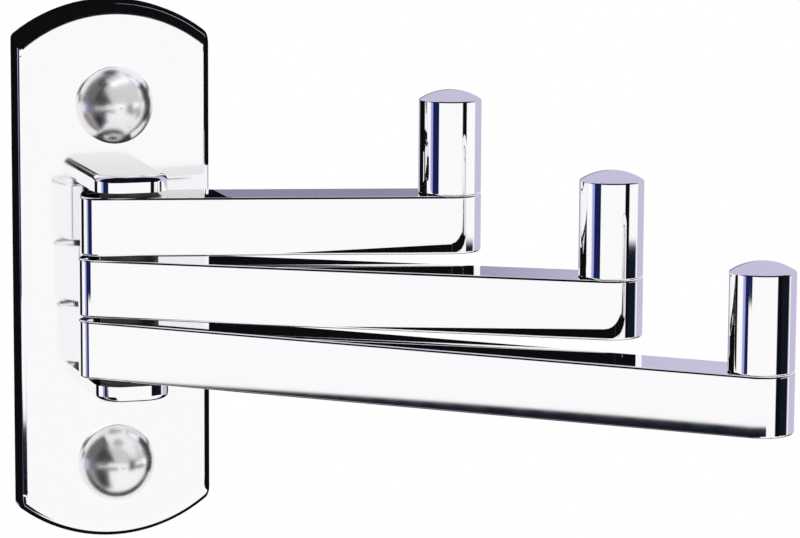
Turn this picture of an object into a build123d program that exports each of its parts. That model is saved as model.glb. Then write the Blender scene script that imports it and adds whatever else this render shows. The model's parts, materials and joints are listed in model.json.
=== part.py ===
"""Wall-mounted triple hook: three arms with upright pegs that swing on one pin held by a cast wall plate.

Frame, in millimetres: +X runs along the wall, +Y into the wall, +Z up.
The origin is the middle of the plate's back face, which lies against the wall.
"""
import os
from math import cos, radians, sin, sqrt

from build123d import *

os.makedirs("parts", exist_ok=True)

# Wall plate
plate_width = 41.0
plate_side = 99.0
plate_arch = 7.3
plate_thickness = 6.0
plate_edge_round = 3.0
plate_side_round = 1.6
back_rim = 3.4
back_pocket_depth = 3.0
back_pocket_corner = 2.0
back_land_margin = 3.0
boss_radius = 6.0

# Wall screws, the cups they are seated in and the domed caps over them
screw_spacing = 75.6
screw_drop = 2.7
screw_radius = 2.0
screw_neck_radius = 1.45
screw_neck_past_wall = 1.0
screw_length = 35.0
screw_point = 4.5
screw_tip_radius = 0.3
screw_head_radius = 4.0
screw_hole_clearance = 0.4
recess_length = 4.4
recess_width = 1.0
recess_depth = 1.3
recess_taper = 12.0
cup_radius = 6.5
cup_height = 2.4
cup_bevel = 0.8
seat_clearance = 0.1
cap_radius = 8.0
cap_height = 6.4
cap_skirt = 1.2
cap_wall = 0.9
cap_snap_clearance = 0.1

# Every countersunk head has a narrow straight land round its face
head_land = 0.3

# Arms and the pin they swing on
arm_width = 13.0
arm_height = 12.0
arm_edge_round = 0.45
hub_overhang = 10.0
hub_corner_round = 4.0
arm_gap = 1.0
stack_drop = 0.9
pin_standoff = 12.5
pin_radius = 3.0
pin_end_bevel = 0.4
pin_head_radius = 4.5
pin_head_thickness = 1.2
pin_head_sinking = 0.1
pin_slot_width = 1.0
pin_slot_depth = 0.6
running_clearance = 0.08
fixed_clearance = 0.04

# Lugs of the wall plate that hold the pin
lug_width = 15.6
lug_thickness = 3.4
lug_corner_round = 5.5
lug_edge_round = 1.3
lug_skin = 1.0

# Friction washers between the arms and the lugs
washer_radius = 6.0
washer_clearance = 0.05

# Pegs and the screws that hold them from below
peg_radius = 6.45
peg_height = 19.3
peg_dome = 2.0
peg_shoulder_round = 0.3
peg_foot_bevel = 0.35
peg_screw_radius = 2.5
peg_screw_length = 20.0
peg_screw_head_radius = 4.6
peg_screw_end_bevel = 0.5
peg_hole_clearance = 0.1
peg_hole_spare = 2.0
hex_radius = 1.7
hex_depth = 2.0

# Distance from the pin to each arm's peg, and degrees by which each arm is swung out from the wall
top_reach = 66.0
middle_reach = 100.0
bottom_reach = 136.0
top_swing = 13.0
middle_swing = 30.0
bottom_swing = 41.0

# The arms from the top down
arms = [
    ("top", top_reach, top_swing),
    ("middle", middle_reach, middle_swing),
    ("bottom", bottom_reach, bottom_swing),
]

# Places worked out from the sizes above
plate_front = -plate_thickness
pin_y = plate_front - pin_standoff
lug_front = pin_y - arm_width / 2
stack_middle = -stack_drop
stack_height = len(arms) * arm_height + (len(arms) + 1) * arm_gap
stack_bottom = stack_middle - stack_height / 2
stack_top = stack_middle + stack_height / 2
arm_pitch = arm_height + arm_gap
pin_bore_radius = pin_radius + fixed_clearance
arm_bore_radius = pin_radius + running_clearance
screw_heights = {"upper": screw_spacing / 2 - screw_drop, "lower": -screw_spacing / 2 - screw_drop}
screw_hole_radius = screw_radius + screw_hole_clearance
pin_recess_depth = pin_head_thickness + pin_head_sinking
facing_out = Plane(origin=(0, 0, 0), x_dir=(1, 0, 0), z_dir=(0, -1, 0))


def arm_bottom(index):
    """Height of the underside of an arm, counted from the top one."""
    return stack_top - arm_gap - arm_height - index * arm_pitch


def arm_direction(swing):
    """Direction in which an arm points when it is swung out from the wall by this many degrees."""
    return Vector(cos(radians(swing)), -sin(radians(swing)), 0)


def peg_centre(reach, swing, height):
    """Point on a peg's axis at this height."""
    return Vector(0, pin_y, height) + arm_direction(swing) * reach


def countersunk_head(head_radius, neck_radius):
    """Half section of a countersunk head, as points of radius and depth below the head's face.

    The head's cone is at 45 degrees and would come to the head's radius at its face, but for a narrow land.
    """
    return [
        (0, 0),
        (head_radius - head_land, 0),
        (head_radius - head_land, head_land),
        (neck_radius, head_radius - neck_radius),
    ]


def outward_plane(height):
    """Plane of a screw's section: its x is the radius, its y the distance out from the plate's front."""
    return Plane(origin=(0, plate_front, height), x_dir=(1, 0, 0), z_dir=(0, 0, -1))


# Wall plate: one casting with an arched top and foot, front edges rounded more there than along its sides,
# a cored back and two lugs
with BuildPart() as wall_plate:
    with BuildSketch(facing_out) as outline:
        with BuildLine():
            half, corner = plate_width / 2, plate_side / 2
            Line((-half, -corner), (-half, corner))
            ThreePointArc((-half, corner), (0, corner + plate_arch), (half, corner))
            Line((half, corner), (half, -corner))
            ThreePointArc((half, -corner), (0, -corner - plate_arch), (-half, -corner))
        make_face()
    extrude(amount=plate_thickness)
    arched_edges = wall_plate.faces().sort_by(Axis.Y)[0].edges().filter_by(GeomType.CIRCLE)
    fillet(arched_edges, plate_edge_round)
    long_edges = wall_plate.faces().sort_by(Axis.Y)[0].edges().filter_by(GeomType.LINE)
    fillet(long_edges, plate_side_round)

    # The back is cored to a rim, a land behind the lugs and a boss round each screw
    with BuildSketch(facing_out) as pockets:
        add(outline.sketch_local)
        offset(amount=-back_rim, kind=Kind.INTERSECTION)
        with Locations((0, stack_middle)):
            land_height = stack_height + 2 * (lug_thickness + back_land_margin)
            Rectangle(plate_width, land_height, mode=Mode.SUBTRACT)
        fillet(pockets.vertices(), back_pocket_corner)
        with Locations([(0, height) for height in screw_heights.values()]):
            Circle(boss_radius, mode=Mode.SUBTRACT)
    extrude(amount=back_pocket_depth, mode=Mode.SUBTRACT)

    # Two lugs stand out from the front, above and below the arms, with their outer faces' edges rounded
    for lug_bottom, outer in ((stack_top, -1), (stack_bottom - lug_thickness, 0)):
        with BuildSketch(Plane.XY.offset(lug_bottom)) as lug:
            with Locations((0, plate_front)):
                Rectangle(lug_width, plate_front - lug_front, align=(Align.CENTER, Align.MAX))
            fillet(lug.vertices().group_by(Axis.Y)[0], lug_corner_round)
        extrude(amount=lug_thickness)
        outer_edges = wall_plate.edges(Select.LAST).group_by(Axis.Z)[outer].sort_by(Axis.Y)
        fillet(outer_edges[:-1], lug_edge_round)

    # The upper lug is bored blind from below, the lower one right through with a recess for the pin's head
    with BuildSketch(Plane.XY.offset(stack_bottom - lug_thickness)):
        with Locations((0, pin_y)):
            Circle(pin_bore_radius)
    extrude(amount=stack_height + 2 * lug_thickness - lug_skin, mode=Mode.SUBTRACT)
    with BuildSketch(Plane.XY.offset(stack_bottom - lug_thickness)):
        with Locations((0, pin_y)):
            Circle(pin_head_radius + fixed_clearance)
    extrude(amount=pin_recess_depth, mode=Mode.SUBTRACT)

    # A clearance hole for each wall screw
    with BuildSketch(facing_out):
        with Locations([(0, height) for height in screw_heights.values()]):
            Circle(screw_hole_radius)
    extrude(amount=plate_thickness, mode=Mode.SUBTRACT)
wall_plate.part.label = "wall_plate"
export_step(wall_plate.part, "parts/wall_plate.step")


# Pivot pin: a turned pin with a bevelled end and a flat slotted head, put in from below
with BuildPart() as pivot_pin:
    pin_foot = stack_bottom - lug_thickness + pin_recess_depth - pin_head_thickness
    pin_end = stack_top + lug_thickness - lug_skin - fixed_clearance
    pin_length = pin_end - pin_foot
    with BuildSketch(Plane(origin=(0, pin_y, pin_foot), x_dir=(1, 0, 0), z_dir=(0, -1, 0))):
        with BuildLine():
            Polyline(
                (0, 0),
                (pin_head_radius, 0),
                (pin_head_radius, pin_head_thickness),
                (pin_radius, pin_head_thickness),
                (pin_radius, pin_length - pin_end_bevel),
                (pin_radius - pin_end_bevel, pin_length),
                (0, pin_length),
                close=True,
            )
        make_face()
    revolve(axis=Axis((0, pin_y, 0), (0, 0, 1)))
    with BuildSketch(Plane.XY.offset(pin_foot)):
        with Locations((0, pin_y)):
            Rectangle(2 * (pin_head_radius + fixed_clearance), pin_slot_width)
    extrude(amount=pin_slot_depth, mode=Mode.SUBTRACT)
pivot_pin.part.label = "pivot_pin"
export_step(pivot_pin.part, "parts/pivot_pin.step")


# Washers: one between each lug and its arm, and one between each two arms
washer_names = ["upper_lug_washer", "upper_arm_washer", "lower_arm_washer", "lower_lug_washer"]
for index, name in enumerate(washer_names):
    with BuildPart() as washer:
        washer_bottom = stack_top - arm_gap - index * arm_pitch + washer_clearance
        with BuildSketch(Plane.XY.offset(washer_bottom)):
            with Locations((0, pin_y)):
                Circle(washer_radius)
                Circle(arm_bore_radius, mode=Mode.SUBTRACT)
        extrude(amount=arm_gap - 2 * washer_clearance)
    washer.part.label = name
    export_step(washer.part, f"parts/{name}.step")


# Arms: rounded hub end with a bore for the pin, and a half-round tip under the peg
for index, (name, reach, swing) in enumerate(arms):
    underside = arm_bottom(index)
    along = arm_direction(swing)
    with BuildPart() as arm:
        with BuildSketch(Plane(origin=(0, pin_y, underside), x_dir=along, z_dir=(0, 0, 1))) as outline_of_arm:
            with Locations(((reach - hub_overhang) / 2, 0)):
                Rectangle(reach + hub_overhang, arm_width)
            with Locations((reach, 0)):
                Circle(arm_width / 2)
            fillet(outline_of_arm.vertices().group_by(Axis.X)[0], hub_corner_round)
        extrude(amount=arm_height)
        rims = arm.faces().sort_by(Axis.Z)[0].edges() + arm.faces().sort_by(Axis.Z)[-1].edges()
        fillet(rims, arm_edge_round)
        with Locations(Plane(origin=(0, pin_y, underside + arm_height), x_dir=along, z_dir=(0, 0, 1))):
            Hole(arm_bore_radius, depth=arm_height)
        with Locations(Plane(origin=peg_centre(reach, swing, underside), x_dir=along, z_dir=(0, 0, -1))):
            CounterSinkHole(
                peg_screw_radius + peg_hole_clearance,
                peg_screw_head_radius + peg_hole_clearance,
                depth=arm_height,
                counter_sink_angle=90,
            )
    arm.part.label = f"{name}_arm"
    export_step(arm.part, f"parts/{name}_arm.step")


# Pegs: turned, with a shallow domed top, a bevelled foot and a blind hole for the screw
for index, (name, reach, swing) in enumerate(arms):
    seat = arm_bottom(index) + arm_height
    foot = peg_centre(reach, swing, seat)
    with BuildPart() as peg:
        with BuildSketch(Plane(origin=foot, x_dir=(1, 0, 0), z_dir=(0, -1, 0))):
            with BuildLine():
                Polyline(
                    (0, peg_height + peg_dome),
                    (0, 0),
                    (peg_radius - peg_foot_bevel, 0),
                    (peg_radius, peg_foot_bevel),
                    (peg_radius, peg_height),
                )
                TangentArc((0, peg_height + peg_dome), (peg_radius, peg_height), tangent=(1, 0))
            make_face()
        revolve(axis=Axis(foot, (0, 0, 1)))
        side = peg.faces().filter_by(GeomType.CYLINDER)[0]
        fillet(side.edges().sort_by(Axis.Z)[-1], peg_shoulder_round)
        with BuildSketch(Plane(origin=foot, x_dir=(1, 0, 0), z_dir=(0, 0, 1))):
            Circle(peg_screw_radius + fixed_clearance)
        extrude(amount=peg_screw_length - arm_height + peg_hole_spare, mode=Mode.SUBTRACT)
    peg.part.label = f"{name}_peg"
    export_step(peg.part, f"parts/{name}_peg.step")


# Peg screws: countersunk, with a hexagon socket, put in from under the arm's tip
for index, (name, reach, swing) in enumerate(arms):
    head = peg_centre(reach, swing, arm_bottom(index))
    with BuildPart() as peg_screw:
        with BuildSketch(Plane(origin=head, x_dir=(1, 0, 0), z_dir=(0, -1, 0))):
            with BuildLine():
                Polyline(
                    *countersunk_head(peg_screw_head_radius, peg_screw_radius),
                    (peg_screw_radius, peg_screw_length - peg_screw_end_bevel),
                    (peg_screw_radius - peg_screw_end_bevel, peg_screw_length),
                    (0, peg_screw_length),
                    close=True,
                )
            make_face()
        revolve(axis=Axis(head, (0, 0, 1)))
        with BuildSketch(Plane(origin=head, x_dir=(1, 0, 0), z_dir=(0, 0, 1))):
            RegularPolygon(hex_radius, 6)
        extrude(amount=hex_depth, mode=Mode.SUBTRACT)
    peg_screw.part.label = f"{name}_peg_screw"
    export_step(peg_screw.part, f"parts/{name}_peg_screw.step")


# Wall screws: countersunk, with a cross recess, a plain neck in the plate and a thicker, pointed length in the
# wall, which stands for the thread and has its outer radius
for name, height in screw_heights.items():
    head = Vector(0, plate_front - cup_height, height)
    with BuildPart() as wall_screw:
        with BuildSketch(Plane(origin=head, x_dir=(1, 0, 0), z_dir=(0, 0, 1))):
            with BuildLine():
                neck_end = cup_height + plate_thickness + screw_neck_past_wall
                Polyline(
                    *countersunk_head(screw_head_radius, screw_neck_radius),
                    (screw_neck_radius, neck_end),
                    (screw_radius, neck_end + screw_radius - screw_neck_radius),
                    (screw_radius, screw_length - screw_point),
                    (screw_tip_radius, screw_length),
                    (0, screw_length),
                    close=True,
                )
            make_face()
        revolve(axis=Axis(head, (0, 1, 0)))
        with BuildSketch(Plane(origin=head, x_dir=(1, 0, 0), z_dir=(0, 1, 0))):
            Rectangle(recess_length, recess_width)
            Rectangle(recess_width, recess_length)
        extrude(amount=recess_depth, taper=recess_taper, mode=Mode.SUBTRACT)
    wall_screw.part.label = f"{name}_wall_screw"
    export_step(wall_screw.part, f"parts/{name}_wall_screw.step")


# Cap cups: bevelled washers, countersunk for the screw's head, that the caps snap over
for name, height in screw_heights.items():
    with BuildPart() as cap_cup:
        with BuildSketch(outward_plane(height)):
            with BuildLine():
                mouth_radius = screw_head_radius + seat_clearance
                Polyline(
                    (screw_hole_radius, 0),
                    (cup_radius, 0),
                    (cup_radius, cup_height - cup_bevel),
                    (cup_radius - cup_bevel, cup_height),
                    (mouth_radius, cup_height),
                    (screw_hole_radius, cup_height - mouth_radius + screw_hole_radius),
                    close=True,
                )
            make_face()
        revolve(axis=Axis((0, 0, height), (0, 1, 0)))
    cap_cup.part.label = f"{name}_cap_cup"
    export_step(cap_cup.part, f"parts/{name}_cap_cup.step")


# Screw caps: thin domes with a short straight skirt, hollow over the screw's head
for name, height in screw_heights.items():
    with BuildPart() as screw_cap:
        with BuildSketch(outward_plane(height)):
            with BuildLine():
                dome_rise = cap_height - cap_skirt
                dome_radius = (cap_radius**2 + dome_rise**2) / (2 * dome_rise)
                inner_radius = cup_radius + cap_snap_clearance
                inner_crown = cap_height - cap_wall
                inner_skirt = cap_height - dome_radius + sqrt((dome_radius - cap_wall) ** 2 - inner_radius**2)
                Line((0, inner_crown), (0, cap_height))
                TangentArc((0, cap_height), (cap_radius, cap_skirt), tangent=(1, 0))
                Polyline(
                    (cap_radius, cap_skirt),
                    (cap_radius, 0),
                    (inner_radius, 0),
                    (inner_radius, inner_skirt),
                )
                TangentArc((0, inner_crown), (inner_radius, inner_skirt), tangent=(1, 0))
            make_face()
        revolve(axis=Axis((0, 0, height), (0, 1, 0)))
    screw_cap.part.label = f"{name}_screw_cap"
    export_step(screw_cap.part, f"parts/{name}_screw_cap.step")
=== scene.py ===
"""Looks of the triple swing-arm hook: polished chrome in a plain white studio."""

import json
import math
from collections import namedtuple

import bmesh
import bpy
from mathutils import Matrix, Vector


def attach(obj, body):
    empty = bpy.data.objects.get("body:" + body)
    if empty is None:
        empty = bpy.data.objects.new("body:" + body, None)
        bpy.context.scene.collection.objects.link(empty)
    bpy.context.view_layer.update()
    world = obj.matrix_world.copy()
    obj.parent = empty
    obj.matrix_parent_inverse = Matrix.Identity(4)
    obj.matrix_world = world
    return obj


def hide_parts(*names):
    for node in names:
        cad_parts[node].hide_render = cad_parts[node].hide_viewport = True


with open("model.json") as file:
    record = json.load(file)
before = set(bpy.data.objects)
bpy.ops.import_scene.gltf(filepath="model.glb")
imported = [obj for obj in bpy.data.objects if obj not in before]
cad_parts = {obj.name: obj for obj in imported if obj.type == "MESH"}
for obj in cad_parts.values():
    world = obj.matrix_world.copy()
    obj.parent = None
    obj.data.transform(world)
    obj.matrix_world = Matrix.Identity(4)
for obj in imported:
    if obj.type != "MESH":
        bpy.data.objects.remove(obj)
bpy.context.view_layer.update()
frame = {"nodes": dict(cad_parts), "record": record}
scene = bpy.context.scene
nodes = frame["nodes"]

# Lengths are in metres and angles in degrees. A direction is given as round, which is 0 at the front and
# positive to the left, and as up from level.

# Camera, fitted to the photograph.
CAMERA_PLACE = (-0.1703, -0.7374, 0.1201)
CAMERA_YAW = 17.648
CAMERA_PITCH = 9.044
CAMERA_ROLL = 0.337
SENSOR_WIDTH = 36.0
FOCAL_LENGTH_PIXELS = 3629.7
IMAGE_WIDTH_PIXELS = 800

# Colours of the studio.
WHITE = (1.0, 1.0, 1.0, 1.0)
BLACK = (0.004, 0.004, 0.005, 1.0)
INK = (0.006, 0.009, 0.018, 1.0)
NAVY = (0.01, 0.014, 0.09, 1.0)
SKY_BLUE = (0.36, 0.4, 0.72, 1.0)
PALE_LILAC = (0.58, 0.54, 0.72, 1.0)
DEEP_LILAC = (0.27, 0.25, 0.36, 1.0)
ROSE_GREY = (0.42, 0.36, 0.36, 1.0)
FLOOR_GREY = (0.85, 0.85, 0.86, 1.0)

# A card in the world has a colour and a reach round and up, each as low edge, high edge and softness. With a
# slope, its lower and upper edges rise by that much for each degree round.
Card = namedtuple("Card", "tint round up slope", defaults=(0.0,))
ALL_ROUND = (-200.0, 200.0, 1.0)
PAST_TOP = 100.0
PAST_FOOT = -100.0

# Cards at the sides and in front, each laid over those before it.
SIDE_CARDS = (
    # Rosy light low on the left.
    Card(ROSE_GREY, round=(60.0, 118.0, 6.0), up=(-75.0, -18.0, 4.0)),
    # Darkness low in front, for the lower edges of the bars' faces.
    Card(INK, round=(29.0, 71.0, 2.0), up=(-75.0, -15.19, 0.03), slope=0.0637),
    Card(INK, round=(2.0, 58.0, 1.0), up=(-19.0, -11.45, 0.03)),
    # Blue and dark bands on the left, for the pegs. Where the bottom bar's face looks, they end above it.
    Card(SKY_BLUE, round=(76.0, 94.0, 3.0), up=(-18.0, 4.0, 2.0)),
    Card(NAVY, round=(74.0, 84.0, 2.0), up=(-18.0, 4.0, 2.0)),
    Card(BLACK, round=(71.5, 76.0, 1.0), up=(-18.0, 4.0, 2.0)),
    Card(NAVY, round=(61.0, 76.0, 2.0), up=(-9.5, 4.0, 0.1)),
    Card(BLACK, round=(59.0, 63.0, 1.0), up=(-9.5, 4.0, 0.1)),
    # Dark cards on the right, for the bars' tips and the pegs.
    Card(INK, round=(-80.0, -40.0, 4.0), up=(-16.0, -8.6, 0.1)),
    Card(BLACK, round=(-46.0, -29.0, 1.5), up=(-20.0, 14.0, 3.0)),
    # Darkness far back on the left, for the left rims of the pegs and hubs.
    Card(BLACK, round=(118.0, 166.0, 2.0), up=(PAST_FOOT, 4.0, 2.0)),
)

# Lilac cards at the back, for the bars' tops and the pegs' domes and right rims. The right one turns from
# deep to pale lilac over these spans round and up.
RIGHT_BACK_ROUND = (-190.0, -87.0, 1.5)
RIGHT_BACK_UP = (-18.0, PAST_TOP, 2.0)
TURNS_PALE_ROUND = (-163.0, -157.5)
TURNS_PALE_UP = (9.0, 16.0)
LEFT_BACK_CARDS = (
    Card(PALE_LILAC, round=(166.0, 190.0, 1.5), up=(-18.0, PAST_TOP, 2.0)),
    Card(PALE_LILAC, round=(104.0, 190.0, 2.0), up=(4.0, PAST_TOP, 2.0)),
)

# Darkness low at the back, which starts over these spans of the direction's Y and of up.
BENEATH_Y = (-0.02, 0.03)
BENEATH_UP = (-17.0, -21.0)

UPPER_CARDS = (
    # The dark upper half of the front.
    Card(BLACK, round=(-87.0, 104.0, 1.5), up=(2.0, PAST_TOP, 0.5)),
    # A card about level, for the dark streak of the caps.
    Card(BLACK, round=(29.0, 57.0, 2.0), up=(-4.5, 4.0, 1.0)),
    # Darkness overhead.
    Card(BLACK, ALL_ROUND, up=(75.5, PAST_TOP, 1.5)),
)

# A ray that was mirrored twice sees only these cards, in front, overhead and at the back. A ray that was
# mirrored more often sees the whole upper half dark.
TWICE_FRONT_CARDS = (
    Card(BLACK, round=(1.0, 72.0, 1.0), up=(2.0, 15.0, 1.0)),
    Card(BLACK, round=(-87.0, 2.0, 1.0), up=(8.3, 15.0, 0.1)),
)
TWICE_BACK_CARDS = (
    Card(BLACK, ALL_ROUND, up=(68.0, PAST_TOP, 2.0)),
    Card(BLACK, round=(-173.0, -152.0, 2.0), up=(-20.0, 15.0, 1.0)),
)
UPPER_HALF = Card(BLACK, ALL_ROUND, up=(0.0, PAST_TOP, 1.0))

# The ray depth is 2 after one mirror, so it lies above these after two and after three.
TWICE_MIRRORED = 2.5
OFTEN_MIRRORED = 3.5

# Soft boxes for the caps, each at a direction and distance from the hook's origin. One of strength 1 is as
# bright as the white world.
Lamp = namedtuple("Lamp", "name round up size strength distance", defaults=(0.6,))
LAMPS = (
    Lamp("cap_fill", round=-32.0, up=37.0, size=(1.3, 0.85), strength=0.62),
    Lamp("cap_side", round=100.0, up=24.0, size=(0.9, 0.85), strength=0.13),
    Lamp("cap_right", round=-98.0, up=8.0, size=(0.6, 0.5), strength=0.3),
    Lamp("cap_glint", round=-30.0, up=72.0, size=(0.5, 0.3), strength=0.6, distance=0.58),
)

FLOOR_HEIGHT = -0.6
FLOOR_RADIUS = 30.0
FLOOR_SIDES = 96

# Wall plate: its front face, and the height of its upper arch's middle. The lower arch mirrors the upper.
PLATE_FRONT = -0.006
ARCH_MIDDLE = 0.0244

# Hood, a band just outside the plate's outline, with a gap in its right side beside the bars. Each side has a
# front edge of its own.
HOOD_SIDE = 0.024
HOOD_ARCH_RADIUS = 0.0359
HOOD_ARCH_STEPS = 24
HOOD_BACK = 0.12
HOOD_LEFT_FRONT = -0.0065
HOOD_TOP_FRONT = -0.005
HOOD_RIGHT_FRONT = -0.0115
HOOD_LEFT_FOOT = -0.0565
HOOD_RIGHT_FOOT = -0.0505
HOOD_GAP_TOP = 0.0212
HOOD_GAP_FOOT = -0.0215

# The part of each noise's range that is used.
NOISE_SPAN = (0.3, 0.7)

# Chrome. Its haze varies the roughness by this share of it to either side.
CHROME_TINT = (0.955, 0.95, 0.965)
CAP_TINT = (0.93, 0.925, 0.93)
HAZE_SCALE = 260.0
HAZE_SHARE = 0.1
RIPPLE_SCALE = 90.0
RIPPLE_STRENGTH = 0.15

# The plate's flat front is softer. This roughness reaches a little to either side of the face.
FACE_ROUGHNESS = 0.09
FACE_REACH = 0.00003
FACE_SOFTNESS = 0.00001

# The plate's cored back is as cast. Each zone has a radius about the arches' middles, a half width and a
# front end, and stays clear of the rounded edges.
CAST_ROUGHNESS = (0.38, 0.62)
CastZone = namedtuple("CastZone", "radius half_width front")
CAST_ZONES = (
    CastZone(radius=0.0316, half_width=0.0199, front=-0.0028),
    CastZone(radius=0.029, half_width=0.0175, front=-0.0058),
)

# Steel and nylon, with a fine grain that darkens the colour down to this share of it.
STEEL_TINT = (0.62, 0.62, 0.63)
NYLON_TINT = (0.03, 0.03, 0.032)
GRAIN_SCALE = 2200.0
GRAIN_STRENGTH = 0.2
GRAIN_HEIGHT = 0.00005
GRAIN_DARKENING = 0.8

# Thread of the wall screws. Depths are measured into the wall. A ridge reaches RIDGE_SHARE of the pitch to
# either side of its middle. It is drawn higher by CREST_FLAT and cut level, which makes its crest flat.
NECK_END = 0.001
POINT_START = 0.0221
TIP_END = 0.0266
CORE_RADIUS = 0.00145
CREST_RADIUS = 0.002
TIP_RADIUS = 0.0003
THREAD_PITCH = 0.0014
THREAD_RUN_IN = 0.0016
RIDGE_SHARE = 0.3
CREST_FLAT = 1.15
THREAD_STEP = 0.0001
THREAD_SEGMENTS = 36
SHARP_ANGLE = 30.0


class Tree:
    """Short forms for building a node tree."""

    def __init__(self, tree):
        self.tree = tree
        tree.nodes.clear()

    def add(self, kind, inputs=(), **settings):
        """Adds a node. Inputs are (socket, value or output) pairs."""
        node = self.tree.nodes.new(kind)
        for key, value in settings.items():
            setattr(node, key, value)
        for socket, value in inputs:
            if isinstance(value, bpy.types.NodeSocket):
                self.tree.links.new(value, node.inputs[socket])
            else:
                node.inputs[socket].default_value = value
        return node

    def math(self, operation, *values):
        return self.add("ShaderNodeMath", list(enumerate(values)), operation=operation).outputs[0]

    def mix(self, factor, first, second):
        """Mixes two colours."""
        return self.add("ShaderNodeMix", [(0, factor), (6, first), (7, second)], data_type="RGBA").outputs[2]

    def mix_value(self, factor, first, second):
        return self.add("ShaderNodeMix", [(0, factor), (2, first), (3, second)], data_type="FLOAT").outputs[0]

    def range(self, value, low, high, to_low=0.0, to_high=1.0):
        """Smooth step of a value from one range to another."""
        return self.add(
            "ShaderNodeMapRange",
            [(0, value), (1, low), (2, high), (3, to_low), (4, to_high)],
            interpolation_type="SMOOTHSTEP",
        ).outputs[0]

    def between(self, value, low, high, soft):
        """1 where the value lies between low and high, with soft ends."""
        rising = self.range(value, low - soft, low + soft)
        falling = self.range(value, high - soft, high + soft, 1.0, 0.0)
        return self.math("MULTIPLY", rising, falling)

    def noise(self, place, scale, detail):
        inputs = [("Vector", place), ("Scale", scale), ("Detail", detail)]
        return self.add("ShaderNodeTexNoise", inputs).outputs[0]

    def bump(self, height, strength, distance):
        inputs = [("Height", height), ("Strength", strength), ("Distance", distance)]
        return self.add("ShaderNodeBump", inputs).outputs[0]


def new_material(name):
    """A material and its emptied tree."""
    material = bpy.data.materials.new(name)
    material.use_nodes = True
    return material, Tree(material.node_tree)


def new_object(name, data):
    piece = bpy.data.objects.new(name, data)
    scene.collection.objects.link(piece)
    return piece


def make_camera():
    """Camera at the photograph's place and angle, upright but for a slight roll."""
    yaw, pitch, roll = (math.radians(a) for a in (CAMERA_YAW, CAMERA_PITCH, CAMERA_ROLL))
    forward = Vector((math.sin(yaw) * math.cos(pitch), math.cos(yaw) * math.cos(pitch), -math.sin(pitch)))
    level = Vector((math.cos(yaw), -math.sin(yaw), 0))
    upward = level.cross(forward)
    right = level * math.cos(roll) + upward * math.sin(roll)
    up = upward * math.cos(roll) - level * math.sin(roll)
    data = bpy.data.cameras.new("camera")
    data.sensor_width = SENSOR_WIDTH
    data.lens = SENSOR_WIDTH * (FOCAL_LENGTH_PIXELS / IMAGE_WIDTH_PIXELS)
    data.clip_start = 0.01
    data.clip_end = 100
    camera = new_object("camera", data)
    turn = Matrix((right, up, -forward)).transposed().to_4x4()
    camera.matrix_world = Matrix.Translation(CAMERA_PLACE) @ turn
    scene.camera = camera


def make_world():
    """White studio. Mirror-like surfaces see its dark upper half and its cards too."""
    world = bpy.data.worlds.new("studio")
    world.use_nodes = True
    scene.world = world
    t = Tree(world.node_tree)
    where = t.add("ShaderNodeTexCoord").outputs["Generated"]
    x, y, z = t.add("ShaderNodeSeparateXYZ", [(0, where)]).outputs
    round_ = t.math("DEGREES", t.math("ARCTAN2", t.math("MULTIPLY", x, -1.0), t.math("MULTIPLY", y, -1.0)))
    up = t.math("DEGREES", t.math("ARCSINE", z))

    def within(card):
        """1 inside a card, with soft edges."""
        height = up
        if card.slope:
            height = t.math("SUBTRACT", up, t.math("MULTIPLY", round_, card.slope))
        return t.math("MULTIPLY", t.between(round_, *card.round), t.between(height, *card.up))

    def lay(colour, cards):
        """Lays cards over a colour, one after another."""
        for card in cards:
            colour = t.mix(within(card), colour, card.tint)
        return colour

    once = lay(WHITE, SIDE_CARDS)
    lilac = t.mix(t.range(round_, *TURNS_PALE_ROUND), DEEP_LILAC, PALE_LILAC)
    lilac = t.mix(t.range(up, *TURNS_PALE_UP), lilac, PALE_LILAC)
    once = lay(once, [Card(lilac, RIGHT_BACK_ROUND, RIGHT_BACK_UP)])
    once = lay(once, LEFT_BACK_CARDS)
    beneath = t.math("MULTIPLY", t.range(y, *BENEATH_Y), t.range(up, *BENEATH_UP))
    once = t.mix(beneath, once, BLACK)
    once = lay(once, UPPER_CARDS)

    twice = t.mix(t.math("MAXIMUM", *(within(card) for card in TWICE_FRONT_CARDS)), WHITE, BLACK)
    twice = lay(twice, TWICE_BACK_CARDS)
    light = t.add("ShaderNodeLightPath")
    often = t.math("GREATER_THAN", light.outputs["Ray Depth"], OFTEN_MIRRORED)
    twice = t.mix(t.math("MULTIPLY", often, within(UPPER_HALF)), twice, BLACK)

    later = t.math("GREATER_THAN", light.outputs["Ray Depth"], TWICE_MIRRORED)
    mirrored = t.mix(later, once, twice)
    shown = t.mix(light.outputs["Is Glossy Ray"], WHITE, mirrored)
    background = t.add("ShaderNodeBackground", [("Color", shown), ("Strength", 1.0)])
    t.add("ShaderNodeOutputWorld", [(0, background.outputs[0])])


def make_lamps():
    """Soft boxes that light the caps alone."""
    caps = bpy.data.collections.new("caps")
    for end in ("upper", "lower"):
        caps.objects.link(nodes[f"{end}_screw_cap"])
    for lamp in LAMPS:
        data = bpy.data.lights.new(lamp.name, "AREA")
        data.shape = "RECTANGLE"
        width, height = lamp.size
        data.size, data.size_y = width, height
        data.energy = lamp.strength * math.pi * width * height
        round_, up = math.radians(lamp.round), math.radians(lamp.up)
        back = Vector((-math.sin(round_) * math.cos(up), -math.cos(round_) * math.cos(up), math.sin(up)))
        box = new_object(lamp.name, data)
        box.location = back * lamp.distance
        box.rotation_mode = "QUATERNION"
        box.rotation_quaternion = back.to_track_quat("Z", "Y")
        box.visible_camera = False
        box.light_linking.receiver_collection = caps


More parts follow.
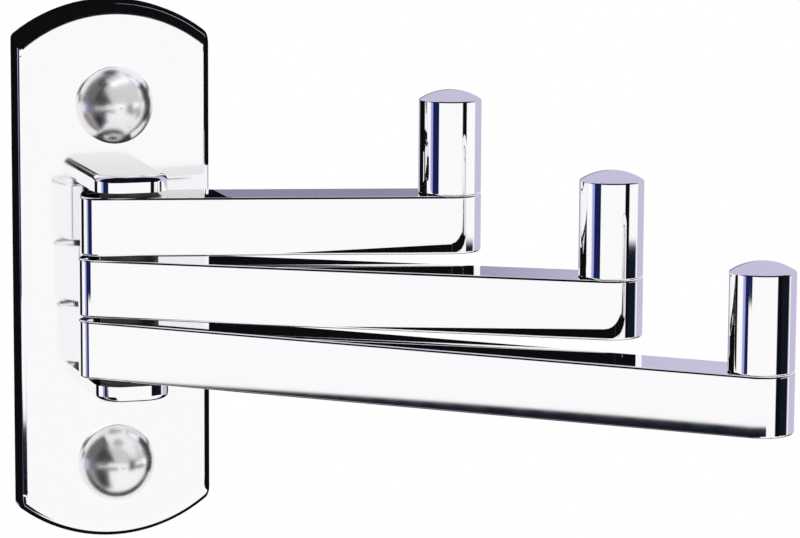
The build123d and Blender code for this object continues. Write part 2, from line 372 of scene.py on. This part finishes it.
def make_floor():
    """Pale floor well below the hook. It is white to the camera, and clear from below and to mirrors."""
    mesh = bpy.data.meshes.new("floor")
    b = bmesh.new()
    bmesh.ops.create_circle(b, cap_ends=True, segments=FLOOR_SIDES, radius=FLOOR_RADIUS)
    b.to_mesh(mesh)
    b.free()
    floor = new_object("floor", mesh)
    floor.location = (0.0, 0.0, FLOOR_HEIGHT)
    material, t = new_material("floor")
    light = t.add("ShaderNodeLightPath")
    pale = t.mix(light.outputs["Is Camera Ray"], FLOOR_GREY, WHITE)
    top = t.add("ShaderNodeBsdfDiffuse", [(0, pale)])
    clear = t.add("ShaderNodeBsdfTransparent")
    under = t.add("ShaderNodeNewGeometry").outputs["Backfacing"]
    hidden = t.math("MAXIMUM", under, light.outputs["Is Glossy Ray"])
    both = t.add("ShaderNodeMixShader", [(0, hidden), (1, top.outputs[0]), (2, clear.outputs[0])])
    t.add("ShaderNodeOutputMaterial", [(0, both.outputs[0])])
    mesh.materials.append(material)


def make_hood():
    """Black band round the plate's outline, which only mirror-like surfaces see."""
    arch = []
    half = math.asin(HOOD_SIDE / HOOD_ARCH_RADIUS)
    for i in range(HOOD_ARCH_STEPS + 1):
        a = half * (2 * i / HOOD_ARCH_STEPS - 1)
        height = ARCH_MIDDLE + HOOD_ARCH_RADIUS * math.cos(a)
        arch.append((HOOD_ARCH_RADIUS * math.sin(a), height, HOOD_TOP_FRONT))
    left = [(-HOOD_SIDE, HOOD_LEFT_FOOT, HOOD_LEFT_FRONT)]
    shoulder = arch[-1][1]
    above_gap = [(HOOD_SIDE, z, HOOD_RIGHT_FRONT) for z in (shoulder, HOOD_GAP_TOP)]
    below_gap = [(HOOD_SIDE, z, HOOD_RIGHT_FRONT) for z in (HOOD_GAP_FOOT, HOOD_RIGHT_FOOT)]
    corners = []
    faces = []
    for band in (left + arch + above_gap, below_gap):
        start = len(corners)
        for x, z, front in band:
            corners += [(x, front, z), (x, HOOD_BACK, z)]
        faces += [(k, k + 1, k + 3, k + 2) for k in range(start, len(corners) - 2, 2)]
    mesh = bpy.data.meshes.new("hood")
    mesh.from_pydata(corners, [], faces)
    hood = new_object("hood", mesh)
    material, t = new_material("hood")
    dark = t.add("ShaderNodeEmission", [(0, BLACK), (1, 1.0)])
    t.add("ShaderNodeOutputMaterial", [(0, dark.outputs[0])])
    mesh.materials.append(material)
    hood.visible_camera = False
    hood.visible_diffuse = False
    hood.visible_shadow = False
    hood.visible_transmission = False


def plate_roughness(t, place, haze, rough):
    """Roughness of the wall plate: the plain one, but with a softer flat front and a back as cast."""
    x, y, z = t.add("ShaderNodeSeparateXYZ", [(0, place)]).outputs
    on_face = t.between(y, PLATE_FRONT - FACE_REACH, PLATE_FRONT + FACE_REACH, FACE_SOFTNESS)
    rough = t.math("MAXIMUM", rough, t.math("MULTIPLY", on_face, FACE_ROUGHNESS))
    past_arch_middle = t.math("MAXIMUM", t.math("SUBTRACT", t.math("ABSOLUTE", z), ARCH_MIDDLE), 0.0)
    squares = [t.math("MULTIPLY", v, v) for v in (x, past_arch_middle)]
    radius = t.math("SQRT", t.math("ADD", *squares))
    half_width = t.math("ABSOLUTE", x)
    masks = []
    for zone in CAST_ZONES:
        in_arch = t.math("LESS_THAN", radius, zone.radius)
        in_sides = t.math("LESS_THAN", half_width, zone.half_width)
        behind = t.math("GREATER_THAN", y, zone.front)
        masks.append(t.math("MULTIPLY", t.math("MULTIPLY", in_arch, in_sides), behind))
    pits = t.range(haze, *NOISE_SPAN, *CAST_ROUGHNESS)
    return t.mix_value(t.math("MAXIMUM", *masks), rough, pits)


def chrome(name, tint, roughness, ripple=0.0, roughen=None):
    """Chrome plate: a mirror with a slightly uneven gloss.

    A ripple gives it faint waves of that height. Roughen is a function that changes its roughness by place.
    """
    material, t = new_material(name)
    place = t.add("ShaderNodeTexCoord").outputs["Object"]
    haze = t.noise(place, HAZE_SCALE, detail=1.0)
    rough = t.range(haze, *NOISE_SPAN, roughness * (1 - HAZE_SHARE), roughness * (1 + HAZE_SHARE))
    if roughen:
        rough = roughen(t, place, haze, rough)
    inputs = [("Base Color", (*tint, 1.0)), ("Metallic", 1.0), ("Roughness", rough)]
    if ripple:
        waves = t.noise(place, RIPPLE_SCALE, detail=1.0)
        inputs.append(("Normal", t.bump(waves, RIPPLE_STRENGTH, ripple)))
    shader = t.add("ShaderNodeBsdfPrincipled", inputs)
    t.add("ShaderNodeOutputMaterial", [(0, shader.outputs[0])])
    return material


def grained(name, tint, roughness, metallic):
    """Moulded or drawn surface with a fine grain."""
    material, t = new_material(name)
    place = t.add("ShaderNodeTexCoord").outputs["Object"]
    grain = t.noise(place, GRAIN_SCALE, detail=3.0)
    dark = tuple(GRAIN_DARKENING * c for c in tint)
    colour = t.mix(t.range(grain, *NOISE_SPAN), (*dark, 1.0), (*tint, 1.0))
    bump = t.bump(grain, GRAIN_STRENGTH, GRAIN_HEIGHT)
    inputs = [("Base Color", colour), ("Metallic", metallic), ("Roughness", roughness), ("Normal", bump)]
    shader = t.add("ShaderNodeBsdfPrincipled", inputs)
    t.add("ShaderNodeOutputMaterial", [(0, shader.outputs[0])])
    return material


def dress(piece, slot):
    """Gives a piece the material of its slot, and no other."""
    piece.data.materials.clear()
    piece.data.materials.append(LOOKS[slot])


def thread_radius(depth, turn):
    """Radius of a wall screw at this depth in the wall, where turn counts turns of the thread."""
    run_in = min(max((depth - NECK_END) / THREAD_RUN_IN, 0.0), 1.0)
    to_tip = min(max((depth - POINT_START) / (TIP_END - POINT_START), 0.0), 1.0)
    core = CORE_RADIUS + (TIP_RADIUS - CORE_RADIUS) * to_tip
    crest = (CREST_RADIUS - CORE_RADIUS) * run_in * (1.0 - to_tip)
    ridge = max(0.0, 1.0 - abs(turn % 1.0 - 0.5) / RIDGE_SHARE)
    return core + crest * min(1.0, ridge * CREST_FLAT)


def make_threaded_screw(name):
    """Wall screw with its real thread, in place of the plain one. Head and neck are taken from the solid."""
    b = bmesh.new()
    b.from_mesh(nodes[name].data)
    heights = [v.co.z for v in b.verts]
    middle = (min(heights) + max(heights)) / 2
    shank = [v for v in b.verts if v.co.y > NECK_END + THREAD_STEP]
    bmesh.ops.delete(b, geom=shank, context="VERTS")
    rows = round((TIP_END - NECK_END) / THREAD_STEP)
    rings = []
    for i in range(rows + 1):
        depth = NECK_END + (TIP_END - NECK_END) * i / rows
        ring = []
        for j in range(THREAD_SEGMENTS):
            a = 2 * math.pi * j / THREAD_SEGMENTS
            radius = thread_radius(depth, depth / THREAD_PITCH - j / THREAD_SEGMENTS)
            ring.append(b.verts.new((radius * math.cos(a), depth, middle + radius * math.sin(a))))
        rings.append(ring)
    for one, two in zip(rings, rings[1:]):
        for j in range(THREAD_SEGMENTS):
            k = (j + 1) % THREAD_SEGMENTS
            b.faces.new((one[j], two[j], two[k], one[k]))
    b.faces.new(rings[-1])
    bmesh.ops.recalc_face_normals(b, faces=b.faces)
    mesh = bpy.data.meshes.new(name + "_threaded")
    b.to_mesh(mesh)
    b.free()
    mesh.shade_smooth()
    mesh.set_sharp_from_angle(angle=math.radians(SHARP_ANGLE))
    piece = new_object(name + "_threaded", mesh)
    dress(piece, "bright_steel")
    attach(piece, "wall_side")
    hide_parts(name)


make_camera()
make_world()
make_floor()
make_hood()
make_lamps()

LOOKS = {
    "plate_chrome": chrome("plate_chrome", CHROME_TINT, roughness=0.03, roughen=plate_roughness),
    "arm_chrome": chrome("arm_chrome", CHROME_TINT, roughness=0.012),
    "peg_chrome": chrome("peg_chrome", CHROME_TINT, roughness=0.02),
    "cap_chrome": chrome("cap_chrome", CAP_TINT, roughness=0.26, ripple=0.00001),
    "bright_steel": grained("bright_steel", STEEL_TINT, roughness=0.3, metallic=1.0),
    "nylon": grained("nylon", NYLON_TINT, roughness=0.5, metallic=0.0),
}
for row in frame["record"]["subparts"]:
    dress(nodes[row["node"]], row["material_slot"])
for screw in ("upper_wall_screw", "lower_wall_screw"):
    make_threaded_screw(screw)

scene.view_settings.view_transform = "Standard"
